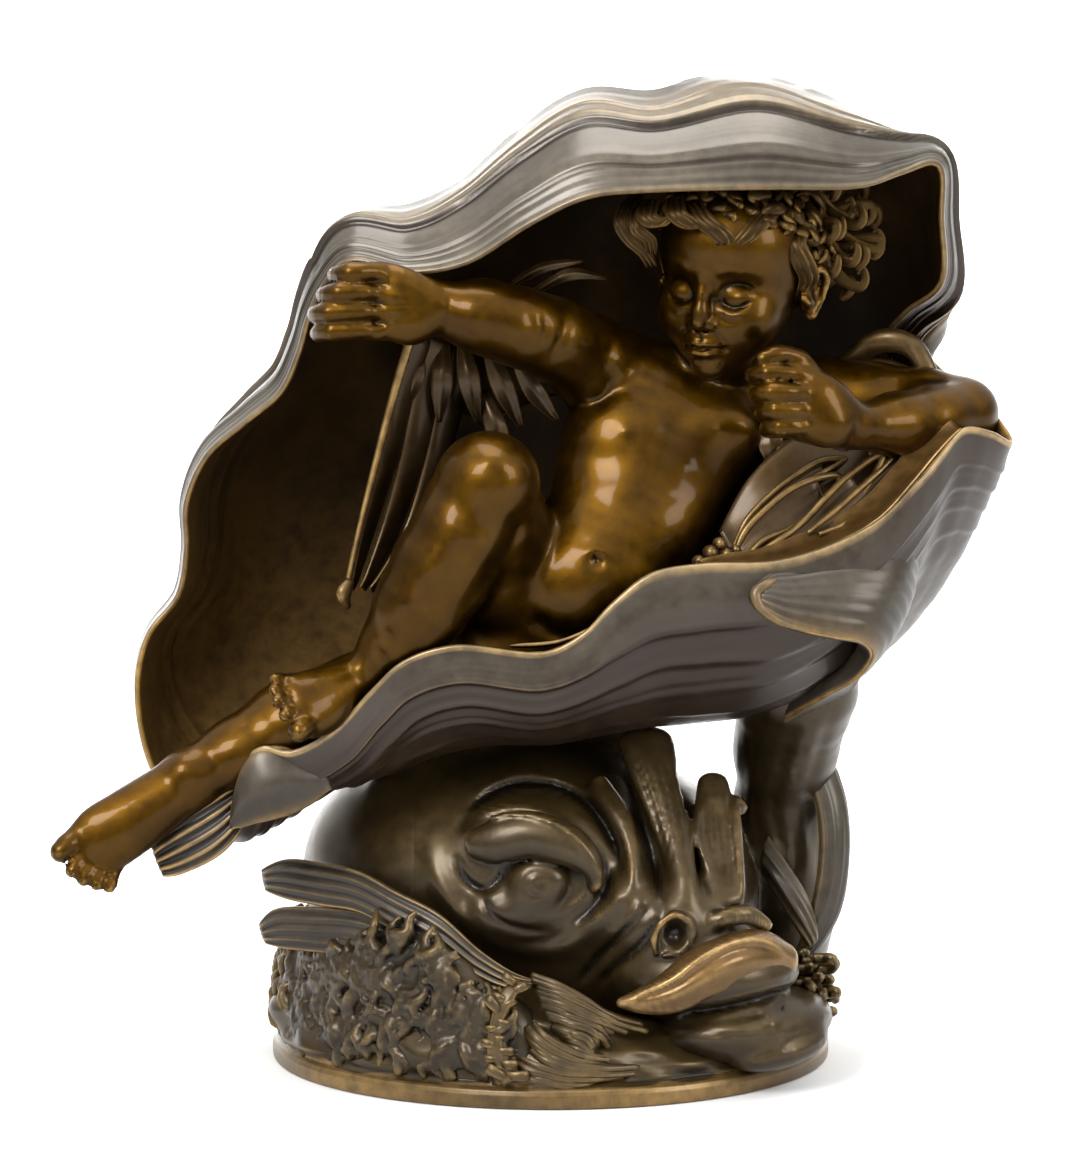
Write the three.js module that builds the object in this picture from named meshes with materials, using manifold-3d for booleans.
// A cast bronze group: a winged cupid reclines in a tall ruffled shell, which the head and the
// raised tail of a sea monster carry above a round base of waves and sea plants.
// Millimetres, +Z up. The origin is the middle of the base's underside, and the group is seen
// from -Y, with the cupid's outstretched foot towards -X.
import * as THREE from "three";
import { LoftGeometry } from "three/addons/geometries/LoftGeometry.js";
import { mergeVertices } from "three/addons/utils/BufferGeometryUtils.js";
import Module from "manifold-3d";

const wasm = await Module();
wasm.setup();

const BASE_RADIUS = 126;
const BASE_RIM = 9; // height of the plain rim round the base
const SHELL_WALL = 5.5;
const SHELL_SEAT = [22, 26, 159]; // where the shell sits lowest, on the monster's back
const FINGER = 4.2; // radius
const TOE = 3.3; // radius
const HEAD_CENTRE = [83, -38, 354];
const HEAD_RADII = [33, 38, 41];
const FACE_TURN = -28; // degrees about +Z, towards the outstretched arm
const FACE_BOW = 10; // degrees, chin towards the chest
const BRONZE = { color: 0x5a3f1c, roughness: 0.34, metalness: 0.95 };

const DEGREE = Math.PI / 180;
const vec = (p) => new THREE.Vector3(...p);
const curve = (points, closed = false) =>
  new THREE.CatmullRomCurve3(points.map(vec), closed, "centripetal");

// A closed geometry as a solid, with its shared corners merged and its empty triangles dropped.
function solidOf(geometry) {
  const flat = geometry.index ? geometry.toNonIndexed() : geometry;
  const bare = new THREE.BufferGeometry().setAttribute("position", flat.getAttribute("position"));
  const merged = mergeVertices(bare, 1e-3);
  const index = merged.index.array;
  const kept = [];
  for (let i = 0; i < index.length; i += 3) {
    const [a, b, c] = index.slice(i, i + 3);
    if (a !== b && b !== c && c !== a) kept.push(a, b, c);
  }
  return new wasm.Manifold(
    new wasm.Mesh({
      numProp: 3,
      vertProperties: new Float32Array(merged.attributes.position.array),
      triVerts: new Uint32Array(kept),
    }),
  );
}

// A closed skin over rings of corners, drawn together to a point at each end.
function skin(rings) {
  const tip = (ring) => {
    const middle = ring.reduce((sum, p) => sum.add(p), new THREE.Vector3()).divideScalar(ring.length);
    return ring.map(() => middle);
  };
  const sections = [tip(rings[0]), ...rings, tip(rings.at(-1))];
  return solidOf(new LoftGeometry(sections, { closed: true }));
}

// An oval of `sides` corners about `centre`, in the plane across `along`, its width along `side`.
function oval(centre, along, side, width, depth, sides) {
  const across = side.clone().addScaledVector(along, -side.dot(along)).normalize();
  const deep = along.clone().cross(across);
  return Array.from({ length: sides }, (_, i) => {
    const angle = (2 * Math.PI * i) / sides;
    return centre
      .clone()
      .addScaledVector(across, width * Math.cos(angle))
      .addScaledVector(deep, depth * Math.sin(angle));
  });
}

// A limb: ovals carried along a smooth path through stations of [x, y, z, half width, half depth],
// rounded off at both ends.
function limb(stations, { side = [1, 0, 0], sides = 8, steps = 5 } = {}) {
  const path = curve(stations.map((s) => s.slice(0, 3)));
  const girth = curve(stations.map((s) => [s[3], s[4] ?? s[3], 0]));
  const sections = [];
  const put = (t, beyond, share) => {
    const along = path.getTangent(t);
    const size = girth.getPoint(t);
    const centre = path.getPoint(t).addScaledVector(along, beyond * Math.min(size.x, size.y));
    sections.push(oval(centre, along, vec(side), size.x * share, size.y * share, sides));
  };
  put(0, -0.85, 0.5);
  for (let i = 0; i <= steps; i++) put(i / steps, 0, 1);
  put(1, 0.85, 0.5);
  return skin(sections);
}

// A stretched ball, turned by angles in degrees.
function ball(centre, radii, { across = 8, down = 5, turn = [0, 0, 0] } = {}) {
  const geometry = new THREE.SphereGeometry(1, across, down);
  const pose = new THREE.Matrix4().compose(
    vec(centre),
    new THREE.Quaternion().setFromEuler(new THREE.Euler(...turn.map((a) => a * DEGREE))),
    vec(radii),
  );
  return solidOf(geometry.applyMatrix4(pose));
}

// The shell's mouth, walked clockwise as the viewer sees it, from the gripping hand along the
// hood, down the right side, back along the lower lip and up the left side.
const MOUTH = [
  [-99, -62, 353], [-88, -66, 365], [-62, -72, 361], [-36, -78, 366], [-9, -82, 383],
  [16, -84, 395], [47, -84, 398], [91, -82, 399], [135, -74, 399], [155, -62, 404],
  [169, -50, 406], [171, -38, 382], [172, -28, 354], [158, -6, 339], [149, 18, 323],
  [160, 24, 323], [172, 12, 311], [185, -6, 301], [197, -26, 292], [202, -44, 284],
  [192, -60, 290], [180, -68, 292], [169, -76, 281], [158, -84, 269], [143, -90, 254],
  [122, -95, 243], [97, -98, 236], [65, -100, 235], [43, -102, 231], [27, -104, 219],
  [14, -105, 206], [-3, -106, 198], [-42, -106, 201], [-64, -105, 194], [-78, -104, 181],
  [-94, -102, 164], [-113, -100, 154], [-125, -98, 156], [-134, -95, 149], [-137, -92, 132],
  [-142, -87, 120], [-156, -72, 120], [-171, -60, 133], [-179, -54, 151], [-182, -50, 177],
  [-177, -49, 198], [-164, -47, 215], [-160, -46, 236], [-160, -46, 256], [-151, -47, 277],
  [-133, -49, 293], [-118, -51, 306], [-110, -55, 323], [-105, -59, 340],
];
// How the wall leaves the mouth, at some of the mouth's points: the point's number, the way the
// wall sets off, the middle of its sweep, and the direction (degrees in plan) and reach in which
// it comes in to the seat.
const SWEEP = [
  [0, [-4, 44, 39], [-70, 105, 331], 140, 70],
  [3, [-6, 44, 64], [-30, 150, 403], 122, 85],
  [5, [-2, 50, 88], [10, 160, 433], 108, 92],
  [6, [0, 50, 87], [40, 162, 427], 98, 94],
  [7, [-2, 48, 102], [73, 160, 433], 84, 94],
  [9, [6, 50, 33], [119, 140, 402], 64, 88],
  [11, [10, 46, 3], [164, 110, 332], 44, 84],
  [13, [14, 40, -5], [177, 80, 281], 30, 86],
  [16, [2, 28, -28], [163, 50, 200], 16, 90],
  [19, [-24, 16, -48], [159, 6, 164], -2, 94],
  [22, [-10, -6, -44], [144, -32, 161], -22, 90],
  [26, [-2, -10, -40], [100, -60, 153], -50, 80],
  [29, [0, -8, -34], [40, -74, 148], -78, 70],
  [32, [4, -4, -34], [-30, -78, 142], -112, 76],
  [35, [8, 0, -26], [-80, -66, 133], -138, 84],
  [38, [20, 12, -25], [-104, -40, 127], -156, 92],
  [41, [14, 26, -12], [-130, -8, 129], -172, 100],
  [44, [2, 48, -7], [-149, 40, 176], -184, 96],
  [47, [0, 50, 3], [-129, 84, 228], -200, 88],
  [51, [-4, 48, 19], [-95, 104, 302], -214, 74],
];

// The inner face of the shell at `turn` round the mouth (0 to 1) and `rise` from seat (0) to mouth (1):
// a curve of the fourth degree from the mouth's point to the seat.
function shellFace() {
  const mouth = curve(MOUTH, true);
  const at = SWEEP.map((s) => s[0] / MOUTH.length);
  const key = (turn, pick) => {
    const n = SWEEP.length;
    let i = at.findLastIndex((a) => a <= turn);
    if (i < 0) i = n - 1;
    const next = (i + 1) % n;
    const span = (at[next] - at[i] + 1) % 1;
    const t = ((turn - at[i] + 1) % 1) / span;
    const around = [(i + n - 1) % n, i, next, (next + 1) % n].map((k) => pick(SWEEP[k]));
    return new THREE.CatmullRomCurve3(around.map(vec), false, "catmullrom", 0.5).getPoint((1 + t) / 3);
  };
  return (turn, rise) => {
    const lip = mouth.getPoint(turn);
    const leaving = lip.clone().add(key(turn, (s) => s[1]));
    const middle = key(turn, (s) => s[2]);
    const inward = key(turn, (s) => [
      SHELL_SEAT[0] + s[4] * Math.cos(s[3] * DEGREE),
      SHELL_SEAT[1] + s[4] * Math.sin(s[3] * DEGREE),
      SHELL_SEAT[2] + 4,
    ]);
    const t = 1 - rise;
    const weights = [rise ** 4, 4 * rise ** 3 * t, 6 * rise ** 2 * t ** 2, 4 * rise * t ** 3, t ** 4];
    return [lip, leaving, middle, inward, vec(SHELL_SEAT)].reduce(
      (sum, p, i) => sum.addScaledVector(p, weights[i]),
      new THREE.Vector3(),
    );
  };
}

// The shell: a wall of even thickness laid on the back of that face.
function shell() {
  const face = shellFace();
  const turns = MOUTH.flatMap((_, i) => (i > 1 && i < 9 ? [i, i + 0.5] : [i])).map(
    (i) => i / MOUTH.length,
  );
  const inside = [0.16, 0.42, 0.66, 0.86, 1];
  const outside = [1, 0.93, 0.81, 0.67, 0.5, 0.32, 0.12];
  const step = 0.004;
  const normal = (turn, rise) => {
    const r = Math.min(rise, 1 - step);
    const du = face((turn + step) % 1, r).sub(face((turn - step + 1) % 1, r));
    const dv = face(turn, r + step).sub(face(turn, r - step));
    return du.cross(dv).normalize();
  };
  const ring = (rise, inset) =>
    turns.map((turn) => face(turn, rise).addScaledVector(normal(turn, rise), inset));
  return skin([
    ...inside.map((r) => ring(r, 0)),
    ...outside.map((r) => ring(r, -SHELL_WALL)),
  ]);
}

// The cupid's trunk and neck, seated on the lower lip and leaning back into the hood.
function trunk() {
  return [
    limb(
      [
        [-8, -46, 195, 33, 27], [7, -50, 212, 36, 31], [22, -50, 227, 38, 33], [35, -45, 248, 38, 31],
        [46, -36, 277, 43, 29], [57, -29, 295, 43, 25], [66, -25, 309, 22, 18], [73, -31, 324, 16, 16],
      ],
      { side: [0.92, 0.1, -0.38], sides: 10, steps: 6 },
    ),
    ball([29, -22, 309], [23, 21, 20], { across: 7, down: 5 }),
    ball([118, -16, 299], [22, 20, 19], { across: 7, down: 5 }),
    limb([[30, -20, 306, 14], [76, -12, 309, 16], [118, -15, 300, 13]], { sides: 7, steps: 2 }),
    ball([15, -66, 222], [29, 19, 25], { across: 9 }),
  ];
}

// A hand: a flat palm, four fingers along given paths and a thumb.
function hand(palm, side, fingers, thumb) {
  return [
    limb(palm, { side, sides: 6, steps: 1 }),
    ...[...fingers, thumb].map((path) =>
      limb(path.map((p) => [...p, FINGER]), { side: [0, 1, 0.2], sides: 4, steps: 2 }),
    ),
  ];
}

function arms() {
  const grip = [0, 1, 2, 3].map((i) => {
    const z = 358 - 9 * i;
    return [[-74, -77, z - 2], [-91, -80, z], [-104 + i, -70, z - 3], [-102 + i, -58, z - 5]];
  });
  const curled = [0, 1, 2, 3].map((i) => {
    const z = 320 - 8.3 * i;
    return [[112 + i, -92, z - 1], [95 + i, -98, z + 1], [85 + 2 * i, -92, z + 1], [92 + 2 * i, -85, z - 1]];
  });
  return [
    limb(
      [[34, -20, 308, 20], [18, -36, 319, 20], [0, -56, 331, 18], [-20, -68, 339, 17.5],
        [-50, -73, 346, 12]],
      { side: [0, 0, 1], sides: 8 },
    ),
    ...hand([[-47, -72, 346, 12, 11], [-63, -76, 346, 15, 9], [-80, -76, 344, 17, 8]], [0, 0, 1], grip,
      [[-62, -84, 336], [-74, -88, 330], [-86, -84, 328]]),
    limb(
      [[116, -16, 299, 19.5], [142, -18, 299, 17.5], [166, -22, 298, 16], [183, -28, 295, 15],
        [170, -42, 294, 15.5], [153, -57, 293, 14.5], [131, -76, 295, 10.5]],
      { side: [0, 0, 1], sides: 7, steps: 6 },
    ),
    ...hand([[132, -77, 295, 11, 9], [124, -83, 299, 14, 10], [108, -87, 306, 16, 10]], [0, 0, 1],
      curled, [[117, -86, 314], [108, -88, 323], [96, -92, 325]]),
  ];
}

// A foot: a wedge from heel to ball, and five toes fanned along `spread` from the big one.
function foot(sole, side, first, spread, ahead) {
  const toes = [0, 1, 2, 3, 4].map((i) => {
    const root = vec(first).addScaledVector(vec(spread), i);
    const tip = root.clone().addScaledVector(vec(ahead), 1 - 0.12 * i);
    const size = TOE * (i === 0 ? 1.4 : 1 - 0.05 * i);
    root.addScaledVector(vec(ahead), -0.7);
    return limb([[...root, size], [...tip, size]], { side, sides: 5, steps: 1 });
  });
  return [limb(sole, { side, sides: 7, steps: 3 }), ...toes];
}

function legs() {
  return [
    limb(
      [[-16, -46, 200, 34], [-27, -58, 229, 31], [-30, -74, 252, 28], [-28, -90, 270, 23]],
      { sides: 9, steps: 3 },
    ),
    ball([-26, -93, 272], [21.5, 22, 22], { across: 8, down: 6 }),
    limb(
      [[-29, -93, 268, 22], [-38, -94, 251, 22], [-47, -93, 234, 22.5], [-57, -92, 217, 20.5],
        [-69, -90, 200, 15], [-80, -88, 184, 11.5]],
      { sides: 8, steps: 5 },
    ),
    ...foot([[-78, -84, 183, 12, 12], [-92, -94, 181, 13, 13], [-102, -106, 177, 16, 10],
      [-108, -114, 176, 16, 7]], [-0.45, 0.2, 0.85], [-105, -115, 169], [-2.3, 1.4, 4.5], [-5, -10, -2.5]),
    limb(
      [[8, -44, 192, 31], [-26, -54, 186, 29], [-60, -64, 179, 24], [-85, -70, 172, 20],
        [-113, -76, 163, 19], [-137, -83, 151, 15.5], [-160, -90, 140, 13]],
      { side: [0, 1, 0], sides: 8, steps: 6 },
    ),
    ...foot([[-158, -90, 140, 14, 12], [-172, -95, 131, 15, 12], [-187, -101, 122, 16, 10],
      [-200, -105, 114, 16, 7]], [-0.4, 0.1, 0.9], [-207, -106, 117], [3.6, -0.5, -4.3], [-7.5, -6, -6]),
  ];
}

// The head: a ball for the skull with cheeks, brow, nose, lips and chin, and a mop of curls.
function head() {
  const pose = new THREE.Matrix4().compose(
    vec(HEAD_CENTRE),
    new THREE.Quaternion().setFromEuler(
      new THREE.Euler(FACE_BOW * DEGREE, 6 * DEGREE, FACE_TURN * DEGREE, "ZYX"),
    ),
    new THREE.Vector3(1, 1, 1),
  );
  const placed = (solid) => solid.transform(pose.elements);
  const face = [
    ball([0, 2, 6], HEAD_RADII, { across: 10, down: 7 }),
    ball([0, -8, -18], [26, 27, 22], { across: 9, down: 6 }),
    ball([-14, -24, -13], [12, 11, 12], { across: 6, down: 5 }),
    ball([14, -24, -13], [12, 11, 12], { across: 6, down: 5 }),
    ball([0, -31, -33], [8, 7, 7], { across: 6, down: 4 }),
    ball([0, -31.5, -24], [8.5, 6, 3.6], { across: 6, down: 4 }),
    limb([[0, -33, 5, 3], [0, -37, -6, 3.6], [0, -38.5, -13, 5]], { sides: 5, steps: 2 }),
    ball([-12, -30, 5], [12, 7, 4], { across: 6, down: 4, turn: [0, 8, 12] }),
    ball([12, -30, 5], [12, 7, 4], { across: 6, down: 4, turn: [0, -8, -12] }),
    ball([-33, 3, -8], [4, 7, 10], { across: 6, down: 4 }),
    ball([33, 3, -8], [4, 7, 10], { across: 6, down: 4 }),
  ];
  const mop = new THREE.SphereGeometry(1, 14, 8).rotateX(-62 * DEGREE);
  const corner = mop.attributes.position;
  for (let i = 0; i < corner.count; i++) {
    const p = new THREE.Vector3().fromBufferAttribute(corner, i);
    const curl = Math.sin(9 * p.x + 2 * p.z) * Math.sin(8 * p.z - 2 * p.y) * Math.cos(6 * p.y + p.x);
    p.multiplyScalar(1.13 + 0.16 * curl);
    corner.setXYZ(i, HEAD_RADII[0] * p.x, HEAD_RADII[1] * p.y + 5, HEAD_RADII[2] * p.z + 14);
  }
  return [...face, solidOf(mop)].map(placed);
}

// The wings: blades from behind each shoulder, one up against the hood and folded down its left
// wall, one spread under the bent arm.
function wings() {
  const blade = (stations, side) => limb(stations, { side, sides: 6, steps: 4 });
  return [
    blade([[34, -8, 310, 16, 8], [-6, 8, 338, 26, 6], [-42, 2, 338, 27, 5], [-66, -14, 307, 22, 5]],
      [0, 0, 2]),
    blade([[-52, -8, 331, 22, 4], [-72, -22, 295, 17, 4], [-87, -38, 254, 10, 4], [-89, -46, 221, 5, 4]],
      [1, 0, 1]),
    blade([[122, 4, 302, 16, 8], [151, -8, 279, 22, 5], [143, -34, 252, 22, 5], [105, -56, 233, 14, 5],
      [77, -66, 226, 6, 4]], [0.4, -0.2, 1]),
    blade([[110, 10, 296, 20, 8], [116, -4, 266, 24, 6], [92, -28, 232, 20, 6]], [1, 0, 0.3]),
  ];
}

// The sea monster: a domed head with a heavy-lidded eye, two leaf crests, a nostril and a thick
// lip at the front, fins on its left and a tail that stands up behind it to carry the shell.
function monster() {
  const ring = new THREE.TorusGeometry(25, 8, 4, 11);
  ring.scale(1.1, 0.9, 1).rotateX(80 * DEGREE).rotateZ(-6 * DEGREE).translate(-2, -76, 92);
  const leaf = { side: [1, 0.3, 0], sides: 5, steps: 3 };
  const fin = { side: [0, 0.3, 1], sides: 5, steps: 3 };
  return [
    ball([-20, 0, 84], [92, 84, 66], { across: 13, down: 7 }),
    ball([26, -18, 74], [68, 72, 62], { across: 11, down: 6 }),
    ball([-2, -66, 92], [44, 22, 38]),
    solidOf(ring),
    ball([-5, -86, 92], [16, 9, 14]),
    ball([-12, -80, 112], [30, 16, 11], { turn: [0, -4, 4] }),
    ball([52, -78, 76], [32, 26, 22]),
    ball([66, -74, 52], [44, 40, 22]),
    limb(
      [[30, -106, 45, 6, 7], [50, -111, 50, 8, 10], [70, -107, 57, 9, 12], [90, -94, 61, 9, 12],
        [104, -76, 56, 7, 8]],
      { side: [0, 0, 1], sides: 6, steps: 4 },
    ),
    ball([56, -98, 74], [9, 7, 10]),
    limb([[50, -96, 84, 7, 6], [53, -86, 102, 11, 7], [53, -70, 124, 12, 7], [48, -42, 148, 9, 7]], leaf),
    limb([[80, -84, 84, 7, 6], [79, -68, 102, 11, 7], [77, -50, 120, 11, 7], [72, -26, 134, 8, 6]], leaf),
    limb([[-27, -98, 60, 5, 5], [-50, -88, 76, 12, 6], [-92, -62, 88, 15, 6], [-129, -30, 82, 6, 4]], fin),
    limb([[-50, -80, 58, 9, 6], [-94, -68, 64, 13, 7], [-131, -40, 62, 7, 4]], fin),
    limb(
      [[60, 56, 46, 36], [96, 40, 46, 30], [106, 20, 66, 24], [103, 12, 90, 21], [104, 8, 114, 21],
        [106, -4, 140, 23], [110, -20, 170, 31]],
      { sides: 8, steps: 5 },
    ),
    limb([[114, -18, 46, 8, 7], [117, -8, 66, 11, 12], [119, -4, 88, 11, 12], [116, 2, 126, 5, 7]],
      { side: [0, 1, 0], sides: 5, steps: 3 }),
    limb([[-66, -30, 122, 14], [-30, -6, 138, 26], [20, 20, 140, 26]], { sides: 7, steps: 2 }),
  ];
}

// How far the ground's side stands out at `turn` (radians) and height z: knots of sea plants on the
// left and behind, small ones at the right, and rolling waves in front.
function swell(turn, z) {
  const up = Math.min(1, Math.max(0, (z - BASE_RIM) / 8));
  const left = 0.5 - 0.5 * Math.cos(Math.min(1, Math.max(0, (turn - 2.6) / 2.4)) * 2 * Math.PI);
  const knots = Math.sin(15 * turn + z / 5) * Math.cos(z / 6 + 4 * turn) * (2 + 4 * left);
  return up * (knots + 9 * left + 2 * Math.sin(6 * turn));
}

// The base: a plain rim and, above it, ground turned on the axis and swollen in waves and plants.
function base() {
  const r = BASE_RADIUS;
  const profile = [
    [0, 0], [r, 0], [r, BASE_RIM - 3], [r - 3, BASE_RIM], [r - 7, 16], [r - 8, 26],
    [r - 11, 37], [r - 18, 49], [r - 34, 58], [0, 56],
  ].map((p) => new THREE.Vector2(...p));
  const turned = new THREE.LatheGeometry(profile, 28).rotateX(Math.PI / 2);
  const corner = turned.attributes.position;
  for (let i = 0; i < corner.count; i++) {
    const [x, y, z] = [corner.getX(i), corner.getY(i), corner.getZ(i)];
    const turn = (Math.atan2(y, x) + 2 * Math.PI + 1e-4) % (2 * Math.PI);
    const front = Math.max(0, Math.cos(turn - 5.24)) ** 3;
    const out = 1 + swell(turn, z) / BASE_RADIUS;
    corner.setXYZ(i, x * out, y * out, z > BASE_RIM ? z - (z - BASE_RIM) * 0.55 * front : z);
  }
  return [solidOf(turned), ball([84, -62, 26], [40, 46, 17], { across: 12, down: 6, turn: [0, -6, -32] })];
}

// What hangs from the shell outside: the folded lobe under its right side and the pleated fan
// under its left end.
function lobes() {
  return [
    limb([[84, -97, 226, 7, 6], [106, -98, 208, 12, 8], [134, -86, 199, 13, 8], [142, -72, 184, 12, 8],
      [128, -46, 162, 11, 9]], { side: [0, 0.3, 1], sides: 6, steps: 5 }),
    limb([[-128, -86, 140, 8, 6], [-146, -88, 126, 14, 6], [-162, -90, 112, 17, 5], [-172, -91, 100, 9, 4]],
      { side: [0.7, 0, 1], sides: 6, steps: 4 }),
  ];
}

// Everything is one casting: the pieces are joined, and pockets shut in between them are filled.
function makeGroup() {
  const pieces = [
    shell(), ...trunk(), ...arms(), ...legs(), ...head(), ...wings(), ...monster(), base(), lobes(),
  ].flat();
  const joined = pieces.reduce((sum, piece) => sum.add(piece));
  const bodies = joined.decompose().sort((a, b) => b.volume() - a.volume());
  return bodies[0];
}

const cast = makeGroup();
const mesh = cast.getMesh();
const geometry = new THREE.BufferGeometry()
  .setAttribute("position", new THREE.BufferAttribute(mesh.vertProperties, 3))
  .setIndex(new THREE.BufferAttribute(mesh.triVerts, 1));
const group = new THREE.Group();
const node = new THREE.Mesh(geometry, new THREE.MeshStandardMaterial(BRONZE));
node.name = "bronze_cupid_group";
group.add(node);
export default group;
